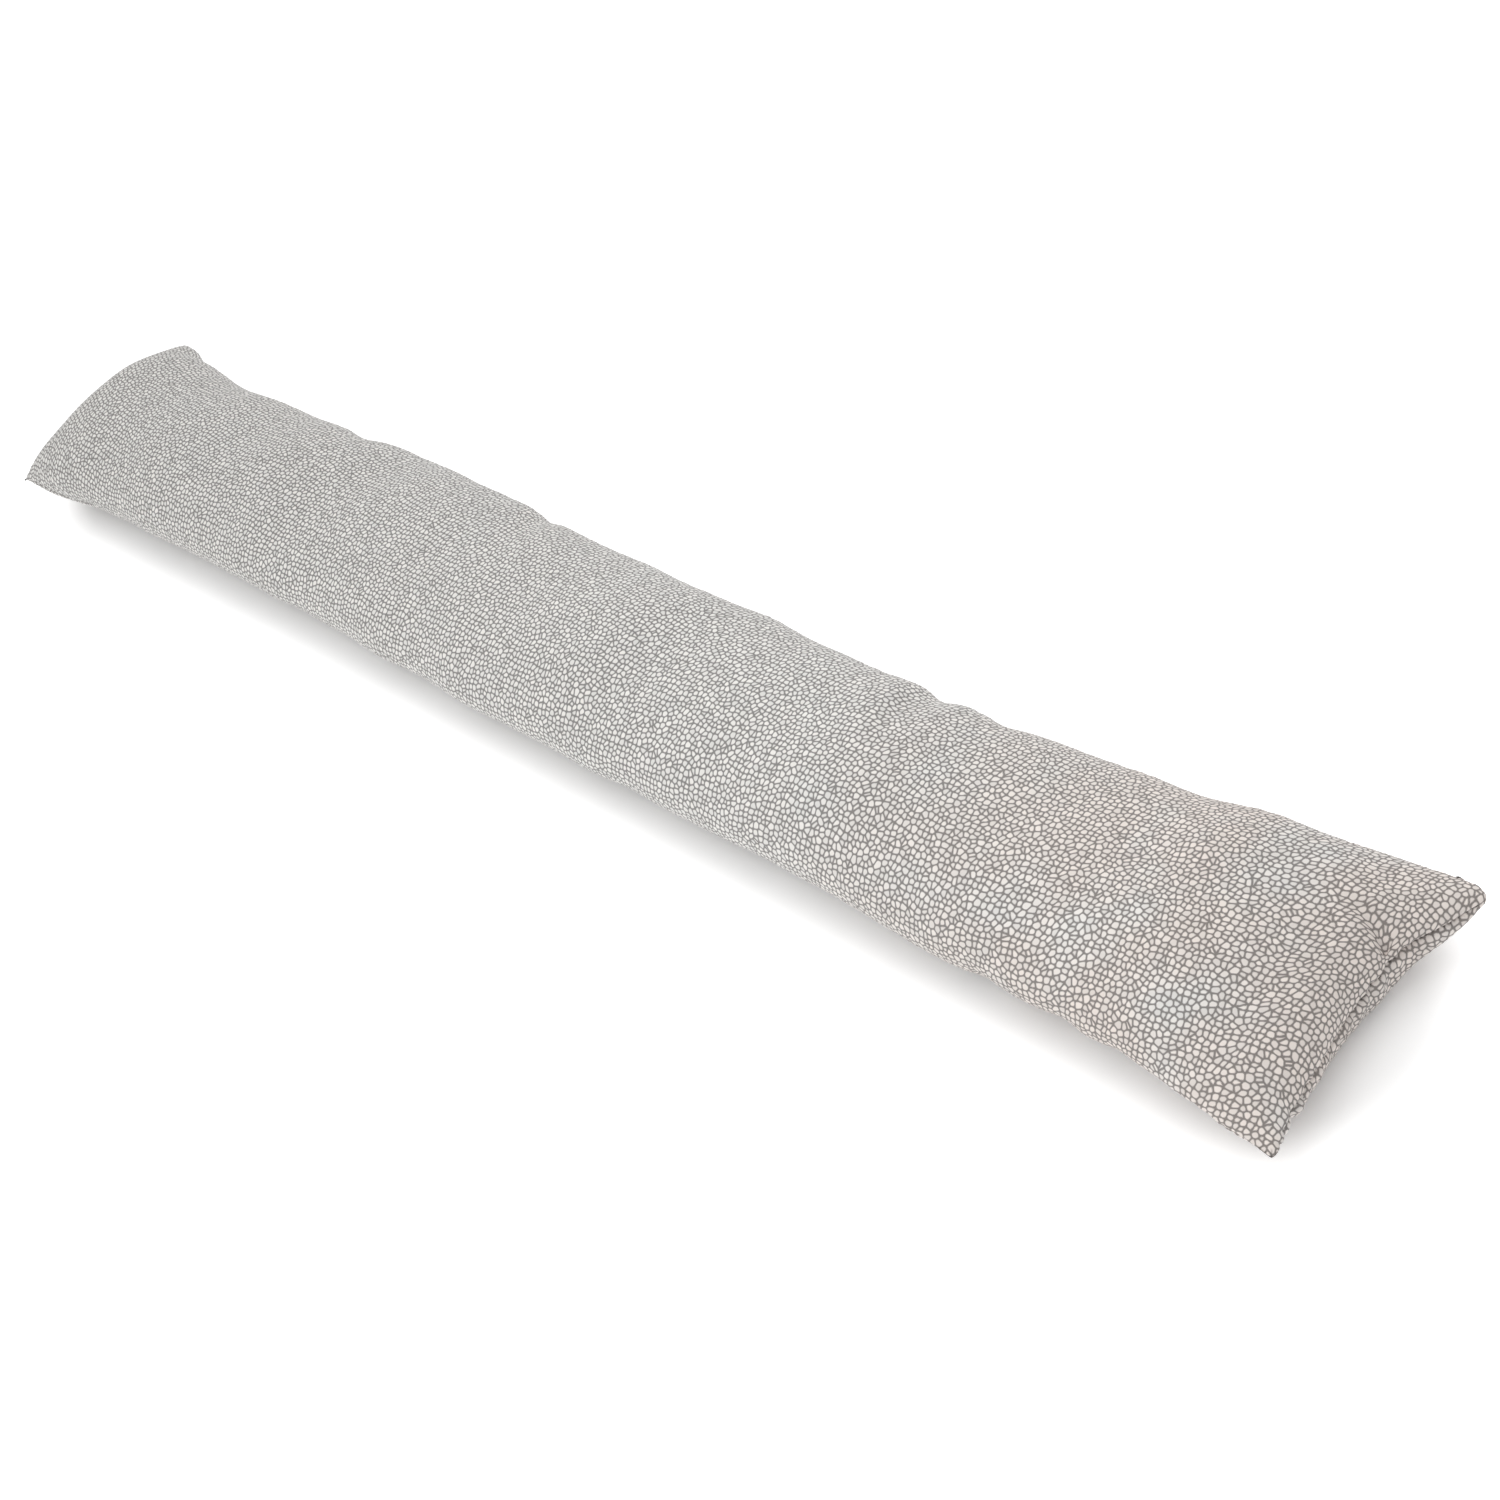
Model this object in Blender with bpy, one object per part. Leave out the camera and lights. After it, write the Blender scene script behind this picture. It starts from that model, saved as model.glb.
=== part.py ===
"""Draught excluder: a long filled cushion that lies on the floor along the foot of a door.

Two oblong panels are sewn together along all four edges and filled. The cushion lies on its
back, along X, with its crown up. Panel places are given by two numbers: along, from -1 at the
left end seam to 1 at the right one, and across, from -1 at the near long seam to 1 at the far
one. Metres, Z up, origin under the middle of the cushion, on the floor.
"""

import bmesh
import bpy
import numpy as np

MM = 0.001

# Overall size, tip to tip. The flat cut is about 1000 x 150 mm before filling.
TIP_TO_TIP = 980 * MM

# Sections across the cushion, in mm. Shift is how far the section lies towards the far side.
# Roll, in degrees, is how far the long seams are turned round the section: the near one lies
# low on its side and the far one high.
STATION_COLUMNS = ("along", "half_width", "height", "shift", "roll")
STATIONS = (
    (-490, 73, 62, 0, 0),
    (-460, 67, 66, -1, 8),
    (-400, 60, 66, -3, 15),
    (-300, 60, 64, 0, 17),
    (-200, 63, 59, 4, 17),
    (-100, 62, 60, 1, 17),
    (0, 60, 65, -3, 17),
    (100, 60, 66, -3, 17),
    (200, 57, 72, -5, 17),
    (300, 61, 67, -3, 17),
    (360, 64, 64, 1, 17),
    (420, 68, 63, 4, 12),
    (470, 77, 59, 4, 6),
    (490, 74, 58, 1, 0),
)
MOST_STATION_STEP = 30 * MM

# Degrees by which the upper panel reaches further round each side than the lower one.
WRAP = 3

# End seams from the near corner to the far one, in mm: how far out they lie beyond the middle
# of the cushion, how high over the floor, and how far the lower panel bulges out past them.
# Each is drawn in between its corners, and the right one most at the fold in the cloth.
SEAM_COLUMNS = ("across", "left_out", "right_out", "left_high", "right_high", "left_lip", "right_lip")
END_SEAMS = (
    (-1.0, 490, 488, 28, 26, 0, 0),
    (-0.8, 492, 490, 28, 26, 1, 1),
    (-0.5, 490, 484, 29, 25, 2, 1),
    (-0.25, 488, 480, 29, 24, 3, 0),
    (0.05, 486, 474, 30, 22, 3, 0),
    (0.3, 487, 473, 31, 26, 3, 4),
    (0.5, 488, 486, 32, 30, 2, 5),
    (0.8, 490, 495, 34, 35, 1, 3),
    (1.0, 488, 484, 33, 35, 0, 0),
)
MOST_SEAM_STEP = 0.1

# Ends: the cloth falls to the end seam in a rounded nose. At the right end this share of the
# crown's height goes in a longer slope. The corners stay pointed.
NOSE_LEFT = 32 * MM
NOSE_RIGHT_ABOVE = 26 * MM
NOSE_RIGHT_BELOW = 46 * MM
SLOPE_SHARE_RIGHT = 0.4
SLOPE_REACH = 110 * MM
PINCH_REACH = 110 * MM
PINCH_LEFT = 0.1
PINCH_RIGHT = 0.6
ROLL_REACH = 40 * MM
SEAM_REACH = 60 * MM
LIP_REACH = 20 * MM

# Points closer together than this count as one.
MERGE = 0.05 * MM

# The filling sinks this far into the floor line, which leaves a flat under the cushion.
SINK = 3 * MM

# Creases and dents, pushed in along the surface. Place is along the cushion, angle is round
# the section in degrees, 0 at the far side, 90 at the crown, 180 at the near side.
CREASE_COLUMNS = ("place", "angle", "depth", "length_along", "length_round", "slant")
CREASES = (
    (-458, 24, 2.5, 10, 18, -0.3),
    (-420, 196, 1.6, 12, 20, 0.2),
    (-265, 20, 1.6, 12, 22, 0.0),
    (-168, 170, 1.2, 30, 22, 0.0),
    (-90, 28, 3.6, 11, 34, 0.3),
    (60, 150, 1.0, 45, 26, 0.4),
    (220, 34, 3.6, 9, 32, 0.2),
    (256, 16, 2.0, 10, 16, 0.0),
    (330, 196, 1.6, 9, 16, 0.2),
    (372, 200, 2.0, 9, 18, -0.2),
    (404, 194, 1.6, 8, 16, 0.1),
    (446, 196, 2.5, 9, 20, -0.4),
    (474, 56, 2.0, 14, 16, 1.2),
    (489, 66, 9.0, 20, 4, 5.0),
)
ROUND_RADIUS = 46 * MM
CREASE_START = 6 * MM

# Uneven filling: a slow swell of the height along the cushion.
SWELL = 0.8 * MM
SWELL_LENGTHS = (173 * MM, 97 * MM)

# Panel grids.
CELLS_ALONG = 132
CELLS_ACROSS = 22
END_CROWDING = 0.9

CLOTH_COLOUR = (0.52, 0.48, 0.45, 1.0)
CLOTH_ROUGHNESS = 0.92


def smooth_row(at, places, values, reach):
    """Values between the rows of a table, with the corners at the rows rounded off."""
    steps = np.linspace(-1.0, 1.0, 7)
    weights = 1.0 - 0.77 * np.abs(steps)
    shifted = [np.interp(at + step * reach, places, values) for step in steps]
    return sum(weight * value for weight, value in zip(weights, shifted)) / weights.sum()


def station_value(column, place):
    """One column of the stations at these places along the cushion, in mm or degrees."""
    table = np.array(STATIONS, float)
    values = table[:, STATION_COLUMNS.index(column)]
    return smooth_row(place, table[:, 0] * MM, values, MOST_STATION_STEP)


def seam_value(column, across):
    """One column of the end seams at these places across the panel, in metres."""
    table = np.array(END_SEAMS, float)
    values = table[:, SEAM_COLUMNS.index(column)] * MM
    return smooth_row(across, table[:, 0], values, MOST_SEAM_STEP)


def crease_depth(place, angle):
    """How far all the creases together push the surface in."""
    depth = np.zeros_like(place)
    for row in CREASES:
        crease = dict(zip(CREASE_COLUMNS, row))
        round_gap = (angle - np.radians(crease["angle"]) + np.pi) % (2 * np.pi) - np.pi
        up = round_gap * ROUND_RADIUS
        out = place - crease["place"] * MM - crease["slant"] * up
        fall = (out / (crease["length_along"] * MM)) ** 2 + (up / (crease["length_round"] * MM)) ** 2
        depth += crease["depth"] * MM * np.exp(-fall)
    return depth


def cushion_point(along, across, side):
    """Place of a panel point on the filled cushion. Side is 1 on the upper panel, -1 below."""
    half_length = TIP_TO_TIP / 2
    place = along * half_length
    inset = half_length - np.abs(place)
    left = along < 0

    half_width = station_value("half_width", place) * MM
    height = station_value("height", place) * MM
    height += SWELL * sum(np.sin(2 * np.pi * place / length) for length in SWELL_LENGTHS)
    shift = station_value("shift", place) * MM
    turn = np.clip(inset / ROLL_REACH, 0, 1)
    roll = np.radians(station_value("roll", place)) * turn

    seam_to_seam = (0.5 * np.pi + side * np.radians(WRAP) * turn) * across
    angle = roll + np.where(side > 0, 0.5 * np.pi - seam_to_seam, 1.5 * np.pi + seam_to_seam)

    # Rounded nose: the half height rises from the end seam as a quarter ellipse. At the crown
    # part of it rises in a long slope.
    crown = np.clip(np.sin(angle), 0, 1)
    nose_right = NOSE_RIGHT_BELOW + crown * (NOSE_RIGHT_ABOVE - NOSE_RIGHT_BELOW)
    nose = np.sqrt(1 - (1 - np.clip(inset / np.where(left, NOSE_LEFT, nose_right), 0, 1)) ** 2)
    slope = np.sin(0.5 * np.pi * np.clip(inset / SLOPE_REACH, 0, 1))
    sloping = np.where(left, 0, SLOPE_SHARE_RIGHT) * crown
    half_height = height / 2 * (nose + sloping * (slope - nose))

    # Section: a round tube in the middle, pinched towards its edges near the ends.
    near_end = (1 - np.clip(inset / PINCH_REACH, 0, 1)) ** 2
    pinch = 1 + np.where(left, PINCH_LEFT, PINCH_RIGHT) * near_end
    rise = np.sign(np.sin(angle)) * np.abs(np.sin(angle)) ** pinch
    seam_height = np.where(left, seam_value("left_high", across), seam_value("right_high", across))
    middle = (height / 2 - SINK) * (1 - near_end) + seam_height * near_end

    # Creases, pushed in square to the section.
    inward_y = half_height * np.cos(angle)
    inward_z = half_width * np.sin(angle)
    deep = crease_depth(place, angle) * np.clip(inset / CREASE_START, 0, 1)
    dent = deep / (np.hypot(inward_y, inward_z) + MERGE)

    # End seams, drawn in between their corners. The lower panel bulges a little past them.
    seam_out = np.where(left, seam_value("left_out", across), seam_value("right_out", across))
    drawn_in = (half_length - seam_out) * np.clip(1 - inset / SEAM_REACH, 0, 1) ** 2
    seam_lip = np.where(left, seam_value("left_lip", across), seam_value("right_lip", across))
    seam_lip *= (side < 0) * (1 - across**8)
    lip = seam_lip * np.sin(np.pi * np.clip(inset / LIP_REACH, 0, 1))

    x = place + np.sign(along) * (lip - drawn_in)
    y = shift + half_width * np.cos(angle) - dent * inward_y
    z = np.maximum(middle + half_height * rise - dent * inward_z, 0)
    return np.stack([x, y, z], -1)


def crowded(along):
    """Evenly spaced places moved closer together towards the ends."""
    return (1 - END_CROWDING) * along + END_CROWDING * np.sin(0.5 * np.pi * along)


def add_panel(bm, side):
    """One panel as a grid, bent to its place on the filled cushion, with its faces outward."""
    grid = bmesh.ops.create_grid(bm, x_segments=CELLS_ALONG, y_segments=CELLS_ACROSS, size=1.0)
    verts = grid["verts"]
    if side < 0:
        faces = list({face for vert in verts for face in vert.link_faces})
        bmesh.ops.reverse_faces(bm, faces=faces)
    flat = np.array([vert.co for vert in verts])
    places = cushion_point(crowded(flat[:, 0]), flat[:, 1], side)
    for vert, place in zip(verts, places):
        vert.co = place


def centre_on_floor(bm):
    """Moves the cushion so that its box is centred on the origin and stands on the floor."""
    places = np.array([vert.co for vert in bm.verts])
    low = places.min(axis=0)
    high = places.max(axis=0)
    middle = (low + high) / 2
    bmesh.ops.translate(bm, verts=bm.verts, vec=(-middle[0], -middle[1], -low[2]))


def cloth_material():
    """Printed cotton, as one plain colour."""
    material = bpy.data.materials.new("printed_cotton")
    material.use_nodes = True
    shader = material.node_tree.nodes["Principled BSDF"]
    shader.inputs["Base Color"].default_value = CLOTH_COLOUR
    shader.inputs["Roughness"].default_value = CLOTH_ROUGHNESS
    shader.inputs["Metallic"].default_value = 0.0
    return material


def build_cushion(collection):
    """The filled cushion: both panels, joined round their seams into one closed skin."""
    bm = bmesh.new()
    add_panel(bm, 1)
    add_panel(bm, -1)
    bmesh.ops.remove_doubles(bm, verts=bm.verts, dist=MERGE)
    bmesh.ops.dissolve_degenerate(bm, edges=bm.edges, dist=MERGE)
    centre_on_floor(bm)
    mesh = bpy.data.meshes.new("cushion")
    bm.to_mesh(mesh)
    bm.free()
    mesh.shade_smooth()
    mesh.materials.append(cloth_material())
    cushion = bpy.data.objects.new("cushion", mesh)
    collection.objects.link(cushion)
    return cushion


def main():
    for obj in list(bpy.data.objects):
        bpy.data.objects.remove(obj, do_unlink=True)
    collection = bpy.data.collections.new("draught_excluder")
    bpy.context.scene.collection.children.link(collection)
    build_cushion(collection)


main()
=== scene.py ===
"""Draught excluder: how it looks. A long filled cushion of printed cotton on a pale floor.

The cushion is made again with a finer skin than the CAD solid that it replaces, from the same
sections, and gets its seams, puckers and print. Panel places are given by two numbers: along,
from -1 at the left end seam to 1 at the right one, and across, from -1 at the near long seam to
1 at the far one. Metres, Z up.
"""

import math

import bpy
import numpy as np
from mathutils import Matrix, Vector


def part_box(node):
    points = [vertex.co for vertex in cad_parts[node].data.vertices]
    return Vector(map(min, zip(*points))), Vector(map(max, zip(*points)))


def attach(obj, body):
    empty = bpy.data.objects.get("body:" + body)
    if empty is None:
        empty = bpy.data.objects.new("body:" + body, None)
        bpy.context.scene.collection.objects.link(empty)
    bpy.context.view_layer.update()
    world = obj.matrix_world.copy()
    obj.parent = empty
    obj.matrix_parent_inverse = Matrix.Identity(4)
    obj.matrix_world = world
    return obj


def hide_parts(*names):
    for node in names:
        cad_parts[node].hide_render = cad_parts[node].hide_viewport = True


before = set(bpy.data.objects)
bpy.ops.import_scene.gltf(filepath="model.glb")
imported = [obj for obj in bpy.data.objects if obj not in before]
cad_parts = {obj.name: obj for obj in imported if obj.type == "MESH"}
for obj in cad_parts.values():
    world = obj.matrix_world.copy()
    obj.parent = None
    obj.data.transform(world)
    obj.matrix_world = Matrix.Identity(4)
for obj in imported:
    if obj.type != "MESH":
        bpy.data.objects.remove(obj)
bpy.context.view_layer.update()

MM = 0.001

# Overall size, tip to tip.
TIP_TO_TIP = 980 * MM

# Sections across the cushion, in mm. Shift is how far the section lies towards the far side.
# Roll, in degrees, is how far the long seams are turned round the section: the near one lies
# low on its side and the far one high.
STATION_COLUMNS = ("along", "half_width", "height", "shift", "roll")
STATIONS = (
    (-490, 73, 62, 0, 0),
    (-460, 67, 66, -1, 8),
    (-400, 60, 66, -3, 15),
    (-300, 60, 64, 0, 17),
    (-200, 63, 59, 4, 17),
    (-100, 62, 60, 1, 17),
    (0, 60, 65, -3, 17),
    (100, 60, 66, -3, 17),
    (200, 57, 72, -5, 17),
    (300, 61, 67, -3, 17),
    (360, 64, 64, 1, 17),
    (420, 68, 63, 4, 12),
    (470, 77, 59, 4, 6),
    (490, 74, 58, 1, 0),
)
MOST_STATION_STEP = 30 * MM

# Degrees by which the upper panel reaches further round each side than the lower one.
WRAP = 3

# End seams from the near corner to the far one, in mm: how far out they lie beyond the middle
# of the cushion, how high over the floor, and how far the lower panel bulges out past them.
# Each is drawn in between its corners, and the right one most at the fold in the cloth.
SEAM_COLUMNS = ("across", "left_out", "right_out", "left_high", "right_high", "left_lip", "right_lip")
END_SEAMS = (
    (-1.0, 490, 488, 28, 26, 0, 0),
    (-0.8, 492, 490, 28, 26, 1, 1),
    (-0.5, 490, 484, 29, 25, 2, 1),
    (-0.25, 488, 480, 29, 24, 3, 0),
    (0.05, 486, 474, 30, 22, 3, 0),
    (0.3, 487, 473, 31, 26, 3, 4),
    (0.5, 488, 486, 32, 30, 2, 5),
    (0.8, 490, 495, 34, 35, 1, 3),
    (1.0, 488, 484, 33, 35, 0, 0),
)
MOST_SEAM_STEP = 0.1

# Ends: the cloth falls to the end seam in a rounded nose. At the right end this share of the
# crown's height goes in a longer slope. The corners stay pointed.
NOSE_LEFT = 32 * MM
NOSE_RIGHT_ABOVE = 26 * MM
NOSE_RIGHT_BELOW = 46 * MM
SLOPE_SHARE_RIGHT = 0.4
SLOPE_REACH = 110 * MM
PINCH_REACH = 110 * MM
PINCH_LEFT = 0.1
PINCH_RIGHT = 0.6
ROLL_REACH = 40 * MM
SEAM_REACH = 60 * MM
LIP_REACH = 20 * MM

# Points closer together than this count as one.
MERGE = 0.05 * MM

# The filling sinks this far into the floor line, which leaves a flat under the cushion.
SINK = 3 * MM

# Creases and dents, pushed in along the surface. Place is along the cushion, angle is round
# the section in degrees, 0 at the far side, 90 at the crown, 180 at the near side.
CREASE_COLUMNS = ("place", "angle", "depth", "length_along", "length_round", "slant")
CREASES = (
    (-458, 24, 2.5, 10, 18, -0.3),
    (-420, 196, 1.6, 12, 20, 0.2),
    (-265, 20, 1.6, 12, 22, 0.0),
    (-168, 170, 1.2, 30, 22, 0.0),
    (-90, 28, 3.6, 11, 34, 0.3),
    (60, 150, 1.0, 45, 26, 0.4),
    (220, 34, 3.6, 9, 32, 0.2),
    (256, 16, 2.0, 10, 16, 0.0),
    (330, 196, 1.6, 9, 16, 0.2),
    (372, 200, 2.0, 9, 18, -0.2),
    (404, 194, 1.6, 8, 16, 0.1),
    (446, 196, 2.5, 9, 20, -0.4),
    (474, 56, 2.0, 14, 16, 1.2),
    (489, 66, 9.0, 20, 4, 5.0),
)
# Creases too narrow for the cells of the CAD solid, in the same columns.
FINE_CREASES = (
    (216, 58, 2.0, 4, 17, 0.3),
    (476, 118, 1.5, 10, 4, 1.5),
)
ROUND_RADIUS = 46 * MM
CREASE_START = 6 * MM

# Uneven filling: a slow swell of the height along the cushion, and slow dents all over.
SWELL = 0.8 * MM
SWELL_LENGTHS = (173 * MM, 97 * MM)
DENT_WAVES = 16
DENT_DEPTH = 0.45 * MM
DENT_LENGTHS = (38 * MM, 95 * MM)

# Seams: a narrow groove, with gathered cloth beside it. Pitch is from one pucker to the next.
# The lower panel has wider gathers as well, under the right end.
GROOVE_DEPTH = 2.6 * MM
GROOVE_REACH = 1.7 * MM
GROOVE_SHARPNESS = 1.5
PUCKER_COLUMNS = ("pitch", "height", "reach", "slant")
PUCKERS = {
    "left": (7.5, 0.8, 11, 0.25),
    "right": (8.5, 2.0, 9, -0.2),
    "near": (9.5, 0.7, 9, 0.3),
    "far": (9.5, 0.7, 9, -0.3),
    "right_below": (12, 2.2, 16, 0.1),
}
PUCKER_WAVES = 4
PUCKER_WAVE_LENGTHS = (2.2, 7.0)
PUCKER_WANDER = 0.35
PUCKER_SIZE = 0.65
PUCKER_SIZE_SPREAD = 0.3
PUCKER_SIZE_PACE = 1.3
PUCKER_SIZE_LIMITS = (0.1, 1.2)
PUCKER_LEVEL = 0.6
PUCKER_AT_SEAM = 0.6
PUCKER_RISE = 4
CORNER_REACH = 16 * MM

# Skin grids, with cells closer together near the seams.
CELLS_ALONG = 400
CELLS_ACROSS = 118
END_CROWDING = 1.0
EDGE_CROWDING = 0.3

# Print: pale pebbles with grey lines between them, about one to every three millimetres.
PEBBLE_PITCH = 2.95 * MM
PEBBLE_UNEVENNESS = 0.75
LINE_WIDTH = 0.68 * MM
LINE_SOFTNESS = 0.45 * MM
CORNER_RADIUS = 0.65 * MM
CORNER_DIRECTIONS = 8
SMALL_PEBBLE_INSET = 0.2 * MM
WANDERS = ((9 * MM, 0.9 * MM), (80 * MM, 6 * MM))
LOWER_PANEL_CUT_FROM = 0.31
PEBBLE_LIGHT = "#EAE8E5"
PEBBLE_DARK = "#DAD9D7"
LINE_COLOUR = "#868482"
# Warm patches: a random tone of the cloth, stronger towards the right, where the added warmth is painted
# warm light.
PATCH_LENGTH = 45 * MM
PATCH_PLAIN = "#FFFFFF"
WARM_PATCH_AND_PAINTED_LIGHT = "#FFF6F2"
PATCH_NOISE = (0.1, 0.6)
PAINTED_WARM_LIGHT_RISE = (0.15, 0.4)
PAINTED_WARM_LIGHT_SHARES = (0.1, 0.9)
PRINT_RELIEF = 0.06 * MM
BARE_AND_INKED_ROUGHNESS = (0.94, 0.86)
CLOTH_SPECULAR = 0.25
CLOTH_SHEEN = 0.12
CLOTH_SHEEN_ROUGHNESS = 0.5

# Stitches of the seams, and the fold in which they lie, darkened with painted shade. The painted shade
# reaches further where the cloth is pulled in at a stitch than where it lies loose.
STITCH_PITCH = 2.6 * MM
FOLD_SHADE_REACHES = (0.4 * MM, 1.5 * MM)
FOLD_SHADE_PATCH = 14 * MM
FOLD_SHADE_NOISE = (0.35, 0.65)
FOLD_SHADE_EDGE = (0.3, 1.0)
FOLD_SHADE_COLOUR = "#A3A09E"
FOLD_UNSHADED = "#FFFFFF"
GATHER_REACH = 4.0 * MM
GATHER_RELIEF = 0.25 * MM

# Weave: threads of the cotton under the print, at a common real size. They are too fine to see
# one by one from the camera, and only roughen the light on the cloth.
THREAD_PITCH = 0.38 * MM
THREAD_RELIEF = 0.02 * MM

# Settings shared by nodes of one kind.
PEBBLE_CELLS = {"voronoi_dimensions": "2D", "feature": "F1"}
PEBBLE_EDGES = {"voronoi_dimensions": "2D", "feature": "DISTANCE_TO_EDGE"}
SMOOTH_RISE = {"interpolation_type": "SMOOTHSTEP"}
COLOUR_PRODUCT = {"data_type": "RGBA", "blend_type": "MULTIPLY"}

# Tiles that the panels are cut into for the exported picture of the cloth. Corners are those of
# a face, as steps along and across its grid.
CORNERS = ((0, 0), (1, 0), (1, 1), (0, 1))
TILES_PER_PANEL = 6
TILE_COLUMNS = 3
TILE_ROWS = 4
TILE_MARGIN = 0.004

# Camera, placed as in the photograph.
CAMERA_PLACE = Vector((0.8942, -0.4633, 0.8196))
CAMERA_TARGET = Vector((0.1381, -0.0171, 0.0300))
CAMERA_ROLL = math.radians(22.37)
CAMERA_LENS = 57.78
SENSOR_WIDTH = 36.0

# Floor and light. The floor glows by its distance from the middle stretch of the cushion's line,
# whose half length is given: least beside the cushion, more from a few centimetres away.
FLOOR_SIZE = 14.0
FLOOR_COLOUR = "#F9F9F9"
FLOOR_SHADED_LENGTH = 0.43
FLOOR_GLOW = (0.09, 0.44)
FLOOR_GLOW_RISE = (0.058, 0.088)
FLOOR_FAR_GLOW = 0.15
FLOOR_FAR_RISE = (0.45, 1.3)
WORLD_BASE = 0.825
WORLD_GRADIENT = Vector((-0.45, 0.19, -0.60))
LIGHT_COLUMNS = ("name", "place", "size", "power")
LIGHTS = (
    ("left_top_light", (-0.45, -0.1, 1.3), 1.6, 3.6),
    ("right_top_light", (0.5, -0.1, 1.3), 1.6, 11.5),
    ("front_light", (0.1, -0.9, 1.0), 1.2, 2.7),
)

random_draws = np.random.default_rng(11)


def linear(hex_colour):
    """An sRGB colour such as #8E8A86 as a linear colour with alpha."""
    parts = [int(hex_colour[start:start + 2], 16) / 255 for start in (1, 3, 5)]
    light = [part / 12.92 if part <= 0.04045 else ((part + 0.055) / 1.055) ** 2.4 for part in parts]
    return light + [1.0]


# Shape

def smooth_row(at, places, values, reach):
    """Values between the rows of a table, with the corners at the rows rounded off."""
    steps = np.linspace(-1.0, 1.0, 7)
    weights = 1.0 - 0.77 * np.abs(steps)
    shifted = [np.interp(at + step * reach, places, values) for step in steps]
    return sum(weight * value for weight, value in zip(weights, shifted)) / weights.sum()


def station_value(column, place):
    """One column of the stations at these places along the cushion, in mm or degrees."""
    table = np.array(STATIONS, float)
    values = table[:, STATION_COLUMNS.index(column)]
    return smooth_row(place, table[:, 0] * MM, values, MOST_STATION_STEP)


def seam_value(column, across):
    """One column of the end seams at these places across the panel, in metres."""
    table = np.array(END_SEAMS, float)
    values = table[:, SEAM_COLUMNS.index(column)] * MM
    return smooth_row(across, table[:, 0], values, MOST_SEAM_STEP)


def crease_depth(place, angle):
    """How far all the creases together push the surface in."""
    depth = np.zeros_like(place)
    for row in CREASES + FINE_CREASES:
        crease = dict(zip(CREASE_COLUMNS, row))
        round_gap = (angle - np.radians(crease["angle"]) + np.pi) % (2 * np.pi) - np.pi
        up = round_gap * ROUND_RADIUS
        out = place - crease["place"] * MM - crease["slant"] * up
        fall = (out / (crease["length_along"] * MM)) ** 2 + (up / (crease["length_round"] * MM)) ** 2
        depth += crease["depth"] * MM * np.exp(-fall)
    return depth


def cushion_point(along, across, side, creased=1.0):
    """Place of a panel point on the filled cushion. Side is 1 on the upper panel, -1 below."""
    half_length = TIP_TO_TIP / 2
    place = along * half_length
    inset = half_length - np.abs(place)
    left = along < 0

    half_width = station_value("half_width", place) * MM
    height = station_value("height", place) * MM
    height += SWELL * sum(np.sin(2 * np.pi * place / length) for length in SWELL_LENGTHS)
    shift = station_value("shift", place) * MM
    turn = np.clip(inset / ROLL_REACH, 0, 1)
    roll = np.radians(station_value("roll", place)) * turn

    seam_to_seam = (0.5 * np.pi + side * np.radians(WRAP) * turn) * across
    angle = roll + np.where(side > 0, 0.5 * np.pi - seam_to_seam, 1.5 * np.pi + seam_to_seam)

    # Rounded nose: the half height rises from the end seam as a quarter ellipse. At the crown
    # part of it rises in a long slope.
    crown = np.clip(np.sin(angle), 0, 1)
    nose_right = NOSE_RIGHT_BELOW + crown * (NOSE_RIGHT_ABOVE - NOSE_RIGHT_BELOW)
    nose = np.sqrt(1 - (1 - np.clip(inset / np.where(left, NOSE_LEFT, nose_right), 0, 1)) ** 2)
    slope = np.sin(0.5 * np.pi * np.clip(inset / SLOPE_REACH, 0, 1))
    sloping = np.where(left, 0, SLOPE_SHARE_RIGHT) * crown
    half_height = height / 2 * (nose + sloping * (slope - nose))

    # Section: a round tube in the middle, pinched towards its edges near the ends.
    near_end = (1 - np.clip(inset / PINCH_REACH, 0, 1)) ** 2
    pinch = 1 + np.where(left, PINCH_LEFT, PINCH_RIGHT) * near_end
    rise = np.sign(np.sin(angle)) * np.abs(np.sin(angle)) ** pinch
    seam_height = np.where(left, seam_value("left_high", across), seam_value("right_high", across))
    middle = (height / 2 - SINK) * (1 - near_end) + seam_height * near_end

    # Creases, pushed in square to the section.
    inward_y = half_height * np.cos(angle)
    inward_z = half_width * np.sin(angle)
    deep = creased * crease_depth(place, angle) * np.clip(inset / CREASE_START, 0, 1)
    dent = deep / (np.hypot(inward_y, inward_z) + MERGE)

    # End seams, drawn in between their corners. The lower panel bulges a little past them.
    seam_out = np.where(left, seam_value("left_out", across), seam_value("right_out", across))
    drawn_in = (half_length - seam_out) * np.clip(1 - inset / SEAM_REACH, 0, 1) ** 2
    seam_lip = np.where(left, seam_value("left_lip", across), seam_value("right_lip", across))
    seam_lip *= (side < 0) * (1 - across**8)
    lip = seam_lip * np.sin(np.pi * np.clip(inset / LIP_REACH, 0, 1))

    x = place + np.sign(along) * (lip - drawn_in)
    y = shift + half_width * np.cos(angle) - dent * inward_y
    z = np.maximum(middle + half_height * rise - dent * inward_z, 0)
    return np.stack([x, y, z], -1)


def crowded(even, crowding):
    """Evenly spaced places moved closer together towards both ends."""
    return (1 - crowding) * even + crowding * np.sin(0.5 * np.pi * even)


def lengths_from_start(points, axis):
    """Distance over the cloth from the first row of a panel grid, going along one direction."""
    steps = np.linalg.norm(np.diff(points, axis=axis), axis=-1)
    return np.insert(np.cumsum(steps, axis=axis), 0, 0, axis=axis)


def outward_directions(points, side):
    """Unit directions square to a panel grid, out of the cushion."""
    square = side * np.cross(np.gradient(points, axis=0), np.gradient(points, axis=1))
    return square / np.linalg.norm(square, axis=-1, keepdims=True)


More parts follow.
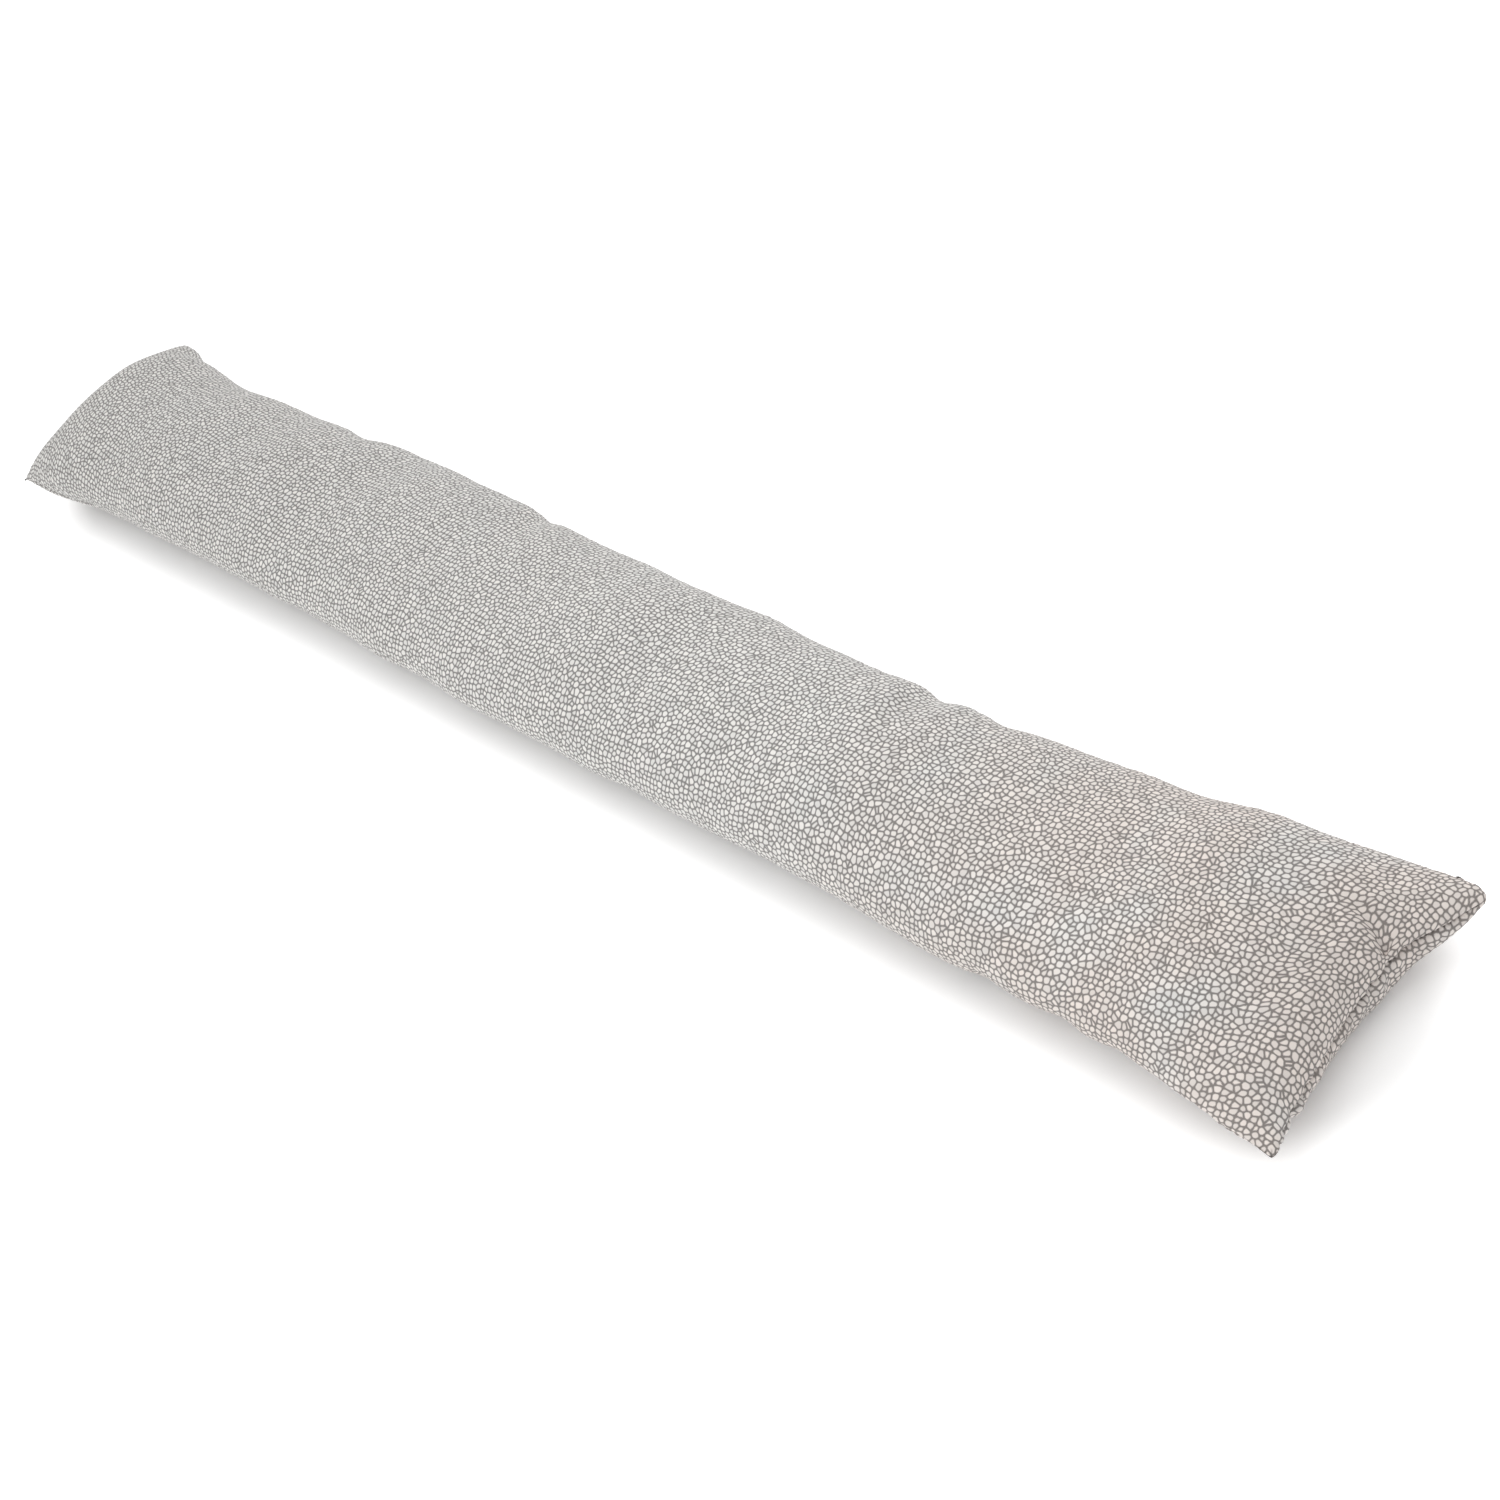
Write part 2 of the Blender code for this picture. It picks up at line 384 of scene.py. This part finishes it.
def dent_waves():
    """Directions, lengths and starts of the slow waves that make the dents."""
    directions = random_draws.normal(size=(DENT_WAVES, 3))
    directions /= np.linalg.norm(directions, axis=1, keepdims=True)
    lengths = random_draws.uniform(*DENT_LENGTHS, DENT_WAVES)
    starts = random_draws.uniform(0, 2 * np.pi, DENT_WAVES)
    return directions, lengths, starts


def dents(points, waves):
    """Slow rises and falls of the skin at these places."""
    total = np.zeros(points.shape[:-1])
    for direction, length, start in zip(*waves):
        total += np.sin(2 * np.pi * (points @ direction) / length + start)
    return DENT_DEPTH * total * math.sqrt(2 / DENT_WAVES)


def pucker_draws():
    """For each seam, the lengths and starts of the waves that make its puckers uneven."""
    draws = {}
    for seam in PUCKERS:
        lengths = random_draws.uniform(*PUCKER_WAVE_LENGTHS, PUCKER_WAVES)
        draws[seam] = (lengths, random_draws.uniform(0, 2 * np.pi, (2, PUCKER_WAVES)))
    return draws


def puckers(seam, along_seam, from_seam, draws):
    """Height of the gathers beside one seam, with rounded tops and sharp valleys."""
    gather = dict(zip(PUCKER_COLUMNS, PUCKERS[seam]))
    lengths, starts = draws[seam]
    count = (along_seam + gather["slant"] * from_seam) / (gather["pitch"] * MM)
    wander = sum(np.sin(2 * np.pi * count / length + start) for length, start in zip(lengths, starts[0]))
    pace = PUCKER_SIZE_PACE * np.pi * count
    size = sum(np.sin(pace / length + start) for length, start in zip(lengths, starts[1]))
    top = np.abs(np.sin(np.pi * (count + PUCKER_WANDER * wander))) - PUCKER_LEVEL
    size = np.clip(PUCKER_SIZE + PUCKER_SIZE_SPREAD * size, *PUCKER_SIZE_LIMITS)
    reach = from_seam / (gather["reach"] * MM)
    grown = np.clip(PUCKER_RISE * reach, 0, 1)
    fade = np.exp(-reach) * (PUCKER_AT_SEAM + (1 - PUCKER_AT_SEAM) * grown)
    return gather["height"] * MM * top * size * fade


def panel(side):
    """Grid of one panel: its points, and the lengths of cloth along and across it.

    The lengths are those without the creases, so that the print stays even beside them.
    """
    along = crowded(np.linspace(-1, 1, CELLS_ALONG + 1), END_CROWDING)
    across = crowded(np.linspace(-1, 1, CELLS_ACROSS + 1), EDGE_CROWDING)
    grid = np.meshgrid(along, across, indexing="ij")
    smooth = cushion_point(*grid, side, creased=0.0)
    return cushion_point(*grid, side), lengths_from_start(smooth, 0), lengths_from_start(smooth, 1)


def finished_panel(side, offset, waves, draws):
    """Points of one panel with its dents, seam grooves and puckers, and its lengths of cloth.

    The last value is, for each point, its distance from the nearest seam and its place along it.
    """
    points, run, rise = panel(side)
    points = points + offset
    outward = outward_directions(points, side)
    from_seam = {"left": run, "right": run[-1] - run, "near": rise, "far": rise[:, -1:] - rise}
    along_seam = {"left": rise, "right": rise, "near": run, "far": run}
    to_end = np.minimum(from_seam["left"], from_seam["right"])
    to_side = np.minimum(from_seam["near"], from_seam["far"])
    nearest = np.minimum(to_end, to_side)
    if side < 0:
        from_seam["right_below"] = from_seam["right"]
        along_seam["right_below"] = rise
    groove = GROOVE_DEPTH * np.exp(-((nearest / GROOVE_REACH) ** GROOVE_SHARPNESS))
    gathers = sum(puckers(seam, along_seam[seam], from_seam[seam], draws) for seam in from_seam)
    seamed = (gathers - groove) * np.clip(np.hypot(to_end, to_side) / CORNER_REACH, 0, 1)
    height = dents(points, waves) + seamed
    points = points + outward * height[..., None]
    points[..., 2] = np.maximum(points[..., 2], 0)
    seam_place = np.where(to_end <= to_side, rise, run)
    return points, run, rise, np.stack([nearest, seam_place], -1)


def tile_places(side):
    """For each face of a panel, its four corners' places in the exported picture."""
    along = crowded(np.linspace(-1, 1, CELLS_ALONG + 1), END_CROWDING)
    across = np.linspace(0, 1, CELLS_ACROSS + 1)
    cuts = np.searchsorted(along, np.linspace(-1, 1, TILES_PER_PANEL + 1))
    tile = np.searchsorted(cuts, np.arange(CELLS_ALONG), side="right") - 1
    start = along[cuts[tile]]
    end = along[cuts[tile + 1]]
    number = tile + (0 if side > 0 else TILES_PER_PANEL)
    column = (number % TILE_COLUMNS)[:, None]
    row = (number // TILE_COLUMNS)[:, None]
    places = []
    for along_step, across_step in CORNERS:
        far = (along[np.arange(CELLS_ALONG) + along_step] - start) / (end - start)
        up = across[np.arange(CELLS_ACROSS) + across_step]
        u = (column + far[:, None]) * np.ones_like(up)[None]
        v = (row + up[None]) * np.ones_like(far)[:, None]
        u = column + TILE_MARGIN * TILE_COLUMNS + (u - column) * (1 - 2 * TILE_MARGIN * TILE_COLUMNS)
        v = row + TILE_MARGIN * TILE_ROWS + (v - row) * (1 - 2 * TILE_MARGIN * TILE_ROWS)
        places.append(np.stack([u / TILE_COLUMNS, v / TILE_ROWS], -1))
    return np.stack(places, 2)


def at_corners(grid):
    """A grid's values at the four corners of each of its faces."""
    rows, columns = grid.shape[0] - 1, grid.shape[1] - 1
    return np.stack([grid[i:i + rows, j:j + columns] for i, j in CORNERS], 2)


def cushion_mesh():
    """Both panels as one closed skin, with its maps.

    They are the cloth's own lengths for the print, the distance from the nearest seam and place
    along it for the stitches, and the tiles of the exported picture.
    """
    bare = {side: panel(side)[0] for side in (1, -1)}
    both = np.concatenate([bare[1].reshape(-1, 3), bare[-1].reshape(-1, 3)])
    low, high = (Vector(corner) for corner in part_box("cushion"))
    offset = np.array((low + high) / 2) - (both.min(axis=0) + both.max(axis=0)) / 2
    offset[2] = low.z - both[:, 2].min()
    waves = dent_waves()
    draws = pucker_draws()

    numbers = np.arange((CELLS_ALONG + 1) * (CELLS_ACROSS + 1)).reshape(CELLS_ALONG + 1, -1)
    points, faces, print_map, seam_map, tile_map = [], [], [], [], []
    for side in (1, -1):
        places, run, rise, seams = finished_panel(side, offset, waves, draws)
        own = numbers.copy()
        if side < 0:
            inner = slice(1, -1)
            inside = own[inner, inner]
            own[inner, inner] = numbers.size + np.arange(inside.size).reshape(inside.shape)
            places = places[inner, inner]
        points.append(places.reshape(-1, 3))
        cloth = np.stack([run - run[CELLS_ALONG // 2], rise - rise[:, CELLS_ACROSS // 2, None]], -1)
        cloth[..., 1] += LOWER_PANEL_CUT_FROM if side < 0 else 0
        turn = slice(None) if side > 0 else slice(None, None, -1)
        faces.append(at_corners(own)[:, :, turn].reshape(-1, 4))
        print_map.append(at_corners(cloth)[:, :, turn].reshape(-1, 2))
        seam_map.append(at_corners(seams)[:, :, turn].reshape(-1, 2))
        tile_map.append(tile_places(side)[:, :, turn].reshape(-1, 2))

    mesh = bpy.data.meshes.new("cushion")
    mesh.from_pydata(np.concatenate(points), [], np.concatenate(faces).tolist())
    for name, places in (("print", print_map), ("seam", seam_map), ("OFBake", tile_map)):
        layer = mesh.uv_layers.new(name=name)
        layer.data.foreach_set("uv", np.concatenate(places).ravel())
    mesh.uv_layers["print"].active = True
    mesh.uv_layers["print"].active_render = True
    mesh.shade_smooth()
    return mesh


# Materials

def add_node(tree, kind, inputs, **settings):
    """Adds a node with its settings, and gives its inputs values or links.

    Inputs are a dictionary by name or number, or a row of values from the first input on.
    """
    node = tree.nodes.new(kind)
    for name, value in settings.items():
        setattr(node, name, value)
    numbered = inputs if isinstance(inputs, dict) else dict(enumerate(inputs))
    for name, value in numbered.items():
        if isinstance(value, bpy.types.NodeSocket):
            tree.links.new(value, node.inputs[name])
        else:
            node.inputs[name].default_value = value
    return node


def printed_cotton():
    """Printed cotton: plain-woven cotton, screen printed all over with a pebble pattern.

    The eye sees a matt cloth, hardly glossy, with a faint pale fuzz where it turns away. The
    inked pebbles are a little smoother than the bare lines between them.
    """
    material = bpy.data.materials.new("printed_cotton")
    material.use_nodes = True
    tree = material.node_tree
    shader = tree.nodes["Principled BSDF"]
    cloth = add_node(tree, "ShaderNodeUVMap", (), uv_map="print").outputs["UV"]

    # Pebbles, in rows that wander and with sides that bend.
    bent = cloth
    for length, reach in WANDERS:
        noise_inputs = {"Vector": cloth, "Scale": 1 / length, "Detail": 1.0}
        noise = add_node(tree, "ShaderNodeTexNoise", noise_inputs, noise_dimensions="2D").outputs["Color"]
        bend_inputs = (noise, (reach, reach, 0.0), bent)
        bent = add_node(tree, "ShaderNodeVectorMath", bend_inputs, operation="MULTIPLY_ADD").outputs[0]
    cells = {"Vector": bent, "Scale": 1 / PEBBLE_PITCH, "Randomness": PEBBLE_UNEVENNESS}
    nearest = add_node(tree, "ShaderNodeTexVoronoi", cells, **PEBBLE_CELLS).outputs["Color"]
    edge = add_node(tree, "ShaderNodeTexVoronoi", cells, **PEBBLE_EDGES).outputs["Distance"]

    # Rounded corners: a pebble reaches as far as a disc of the corner's radius can roll in it.
    # One that is too small for the disc keeps its own sides, a little further in.
    small_inputs = (edge, (SMALL_PEBBLE_INSET - CORNER_RADIUS) / PEBBLE_PITCH)
    rounded = add_node(tree, "ShaderNodeMath", small_inputs, operation="SUBTRACT").outputs[0]
    for turn in range(CORNER_DIRECTIONS):
        way = 2 * math.pi * turn / CORNER_DIRECTIONS
        step = (CORNER_RADIUS * math.cos(way), CORNER_RADIUS * math.sin(way), 0.0)
        moved = add_node(tree, "ShaderNodeVectorMath", (bent, step), operation="ADD").outputs[0]
        moved_cells = {**cells, "Vector": moved}
        beside = add_node(tree, "ShaderNodeTexVoronoi", moved_cells, **PEBBLE_EDGES).outputs["Distance"]
        rounded = add_node(tree, "ShaderNodeMath", (rounded, beside), operation="MAXIMUM").outputs[0]
    disc_inputs = (rounded, CORNER_RADIUS / PEBBLE_PITCH)
    rounded = add_node(tree, "ShaderNodeMath", disc_inputs, operation="SUBTRACT").outputs[0]
    line_edge = LINE_WIDTH / 2 / PEBBLE_PITCH
    softness = LINE_SOFTNESS / PEBBLE_PITCH
    pebble_inputs = (rounded, line_edge - softness / 2, line_edge + softness / 2)
    pebble = add_node(tree, "ShaderNodeMapRange", pebble_inputs, **SMOOTH_RISE).outputs[0]

    # Colours: each pebble takes a little more or less ink, and the cloth is warmer in random patches.
    # Towards the right the patches grow stronger, which is painted warm light.
    cell = add_node(tree, "ShaderNodeSeparateColor", (nearest,)).outputs[0]
    pale_inputs = {0: cell, 6: linear(PEBBLE_LIGHT), 7: linear(PEBBLE_DARK)}
    pale = add_node(tree, "ShaderNodeMix", pale_inputs, data_type="RGBA").outputs[2]
    print_inputs = {0: pebble, 6: linear(LINE_COLOUR), 7: pale}
    printed = add_node(tree, "ShaderNodeMix", print_inputs, data_type="RGBA").outputs[2]
    patch_inputs = {"Vector": cloth, "Scale": 1 / PATCH_LENGTH, "Detail": 2.0}
    patches = add_node(tree, "ShaderNodeTexNoise", patch_inputs, noise_dimensions="2D").outputs["Fac"]
    patch = add_node(tree, "ShaderNodeMapRange", (patches, *PATCH_NOISE), **SMOOTH_RISE).outputs[0]
    # Painted warm light: the warm patches grow stronger towards the right.
    to_right = add_node(tree, "ShaderNodeSeparateXYZ", (cloth,)).outputs[0]
    painted_warm_light_inputs = (to_right, *PAINTED_WARM_LIGHT_RISE, *PAINTED_WARM_LIGHT_SHARES)
    right = add_node(tree, "ShaderNodeMapRange", painted_warm_light_inputs, **SMOOTH_RISE).outputs[0]
    share = add_node(tree, "ShaderNodeMath", (patch, right), operation="MULTIPLY").outputs[0]
    tint_inputs = {0: share, 6: linear(PATCH_PLAIN), 7: linear(WARM_PATCH_AND_PAINTED_LIGHT)}
    tint = add_node(tree, "ShaderNodeMix", tint_inputs, data_type="RGBA").outputs[2]
    tinted = add_node(tree, "ShaderNodeMix", {0: 1.0, 6: printed, 7: tint}, **COLOUR_PRODUCT).outputs[2]

    # Seams: the cloth is pulled in at the stitches, more in some places, and the fold is darkened with
    # painted shade.
    seam_map = add_node(tree, "ShaderNodeUVMap", (), uv_map="seam").outputs["UV"]
    seam = add_node(tree, "ShaderNodeSeparateXYZ", (seam_map,)).outputs
    from_seam = seam[0]
    along_seam = seam[1]
    count_inputs = (along_seam, 2 * math.pi / STITCH_PITCH)
    count = add_node(tree, "ShaderNodeMath", count_inputs, operation="MULTIPLY").outputs[0]
    wave = add_node(tree, "ShaderNodeMath", (count,), operation="SINE").outputs[0]
    stitch = add_node(tree, "ShaderNodeMath", (wave, 0.5, 0.5), operation="MULTIPLY_ADD").outputs[0]
    loose_inputs = {"W": along_seam, "Scale": 1 / FOLD_SHADE_PATCH, "Detail": 0.0}
    loose = add_node(tree, "ShaderNodeTexNoise", loose_inputs, noise_dimensions="1D").outputs["Fac"]
    tight = add_node(tree, "ShaderNodeMapRange", (loose, *FOLD_SHADE_NOISE), **SMOOTH_RISE).outputs[0]
    pulled = add_node(tree, "ShaderNodeMath", (stitch, tight), operation="MULTIPLY").outputs[0]
    reach_inputs = (pulled, FOLD_SHADE_REACHES[1] - FOLD_SHADE_REACHES[0], FOLD_SHADE_REACHES[0])
    fold_shade_reach = add_node(tree, "ShaderNodeMath", reach_inputs, operation="MULTIPLY_ADD").outputs[0]
    out_of_fold = add_node(tree, "ShaderNodeMath", (from_seam, fold_shade_reach), operation="DIVIDE").outputs[0]
    fold = add_node(tree, "ShaderNodeMapRange", (out_of_fold, *FOLD_SHADE_EDGE), **SMOOTH_RISE).outputs[0]
    # Painted shade in the seam's fold, multiplied into the cloth's colour.
    shade_inputs = {0: fold, 6: linear(FOLD_SHADE_COLOUR), 7: linear(FOLD_UNSHADED)}
    shade = add_node(tree, "ShaderNodeMix", shade_inputs, data_type="RGBA").outputs[2]
    colour = add_node(tree, "ShaderNodeMix", {0: 1.0, 6: tinted, 7: shade}, **COLOUR_PRODUCT).outputs[2]
    tree.links.new(colour, shader.inputs["Base Color"])

    # Relief: a plain weave, under ink that swells the pebbles, and small gathers at the stitches.
    threads = []
    for direction in ("X", "Y"):
        thread_inputs = {"Vector": cloth, "Scale": math.pi / (10 * THREAD_PITCH), "Distortion": 0.0}
        settings = {"wave_type": "BANDS", "bands_direction": direction, "wave_profile": "SIN"}
        threads.append(add_node(tree, "ShaderNodeTexWave", thread_inputs, **settings).outputs["Fac"])
    weave = add_node(tree, "ShaderNodeMath", threads, operation="MAXIMUM").outputs[0]
    woven = add_node(tree, "ShaderNodeMath", (weave, THREAD_RELIEF), operation="MULTIPLY").outputs[0]
    ink_inputs = (pebble, PRINT_RELIEF, woven)
    inked = add_node(tree, "ShaderNodeMath", ink_inputs, operation="MULTIPLY_ADD").outputs[0]
    fade_inputs = (from_seam, 0.0, GATHER_REACH, GATHER_RELIEF, 0.0)
    fade = add_node(tree, "ShaderNodeMapRange", fade_inputs, **SMOOTH_RISE).outputs[0]
    gather = add_node(tree, "ShaderNodeMath", (stitch, fade), operation="MULTIPLY").outputs[0]
    height = add_node(tree, "ShaderNodeMath", (inked, gather), operation="SUBTRACT").outputs[0]
    bump_inputs = {"Height": height, "Strength": 1.0, "Distance": 1.0}
    bump = add_node(tree, "ShaderNodeBump", bump_inputs).outputs[0]
    tree.links.new(bump, shader.inputs["Normal"])
    rough_inputs = (pebble, 0.0, 1.0, *BARE_AND_INKED_ROUGHNESS)
    roughness = add_node(tree, "ShaderNodeMapRange", rough_inputs, **SMOOTH_RISE).outputs[0]
    tree.links.new(roughness, shader.inputs["Roughness"])
    shader.inputs["Specular IOR Level"].default_value = CLOTH_SPECULAR
    shader.inputs["Sheen Weight"].default_value = CLOTH_SHEEN
    shader.inputs["Sheen Roughness"].default_value = CLOTH_SHEEN_ROUGHNESS
    return material


def floor_material():
    """Matt white board, with no gloss, so that the eye sees only the cushion's shadow on it.

    Its glow is least beside the cushion and rises a few centimetres away. That keeps the shadow
    dark and narrow, and burns the rest out to white.
    """
    material = bpy.data.materials.new("matt_white_board")
    material.use_nodes = True
    tree = material.node_tree
    shader = tree.nodes["Principled BSDF"]
    shader.inputs["Base Color"].default_value = linear(FLOOR_COLOUR)
    shader.inputs["Roughness"].default_value = 1.0
    shader.inputs["Specular IOR Level"].default_value = 0.0
    shader.inputs["Emission Color"].default_value = (1.0, 1.0, 1.0, 1.0)
    place = add_node(tree, "ShaderNodeTexCoord", ()).outputs["Object"]
    parts = add_node(tree, "ShaderNodeSeparateXYZ", (place,)).outputs
    along = add_node(tree, "ShaderNodeMath", (parts[0],), operation="ABSOLUTE").outputs[0]
    end_inputs = (along, FLOOR_SHADED_LENGTH)
    beyond_end = add_node(tree, "ShaderNodeMath", end_inputs, operation="SUBTRACT").outputs[0]
    beyond_end = add_node(tree, "ShaderNodeMath", (beyond_end, 0.0), operation="MAXIMUM").outputs[0]
    beside = add_node(tree, "ShaderNodeMath", (parts[1], parts[1]), operation="MULTIPLY").outputs[0]
    square_inputs = (beyond_end, beyond_end, beside)
    square = add_node(tree, "ShaderNodeMath", square_inputs, operation="MULTIPLY_ADD").outputs[0]
    away = add_node(tree, "ShaderNodeMath", (square,), operation="SQRT").outputs[0]
    near_inputs = (away, *FLOOR_GLOW_RISE, *FLOOR_GLOW)
    near_glow = add_node(tree, "ShaderNodeMapRange", near_inputs, **SMOOTH_RISE).outputs[0]
    far_inputs = (away, *FLOOR_FAR_RISE, 0.0, FLOOR_FAR_GLOW)
    far_glow = add_node(tree, "ShaderNodeMapRange", far_inputs, **SMOOTH_RISE).outputs[0]
    glow = add_node(tree, "ShaderNodeMath", (near_glow, far_glow), operation="ADD").outputs[0]
    tree.links.new(glow, shader.inputs["Emission Strength"])
    return material


# Pieces, floor, camera and light

def link_object(name, data):
    """A new object in the scene."""
    obj = bpy.data.objects.new(name, data)
    bpy.context.scene.collection.objects.link(obj)
    return obj


def build_cushion():
    """The cushion, which stands for the CAD node of the same name."""
    mesh = cushion_mesh()
    mesh.materials.append(printed_cotton())
    piece = link_object("filled_cushion", mesh)
    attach(piece, "root")
    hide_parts("cushion")
    return piece


def build_floor():
    """A wide plain floor under the cushion."""
    mesh = bpy.data.meshes.new("floor")
    half = FLOOR_SIZE / 2
    corners = [(-half, -half, 0), (half, -half, 0), (half, half, 0), (-half, half, 0)]
    mesh.from_pydata(corners, [], [(0, 1, 2, 3)])
    mesh.materials.append(floor_material())
    link_object("floor", mesh)


def build_camera():
    """The camera, leaning over to its right as in the photograph."""
    data = bpy.data.cameras.new("camera")
    data.sensor_width = SENSOR_WIDTH
    data.lens = CAMERA_LENS
    camera = link_object("camera", data)
    upright = (CAMERA_TARGET - CAMERA_PLACE).to_track_quat("-Z", "Y").to_matrix().to_4x4()
    leaning = Matrix.Rotation(-CAMERA_ROLL, 4, "Z")
    camera.matrix_world = Matrix.Translation(CAMERA_PLACE) @ upright @ leaning
    bpy.context.scene.camera = camera


def build_light():
    """A white room for fill, brighter towards one side, and soft boxes overhead."""
    world = bpy.data.worlds.new("studio")
    world.use_nodes = True
    tree = world.node_tree
    background = tree.nodes["Background"]
    background.inputs["Color"].default_value = (1.0, 1.0, 1.0, 1.0)
    direction = add_node(tree, "ShaderNodeTexCoord", ()).outputs["Generated"]
    slope_inputs = (direction, WORLD_GRADIENT)
    slope = add_node(tree, "ShaderNodeVectorMath", slope_inputs, operation="DOT_PRODUCT").outputs["Value"]
    strength = add_node(tree, "ShaderNodeMath", (slope, WORLD_BASE), operation="ADD").outputs[0]
    tree.links.new(strength, background.inputs["Strength"])
    bpy.context.scene.world = world
    for row in LIGHTS:
        light = dict(zip(LIGHT_COLUMNS, row))
        data = bpy.data.lights.new(light["name"], "AREA")
        data.shape = "SQUARE"
        data.size = light["size"]
        data.energy = light["power"]
        lamp = link_object(light["name"], data)
        lamp.location = light["place"]
        lamp.rotation_euler = (-Vector(light["place"])).to_track_quat("-Z", "Y").to_euler()


build_cushion()
build_floor()
build_camera()
build_light()
bpy.context.scene.view_settings.view_transform = "Standard"

bpy.context.view_layer.update()
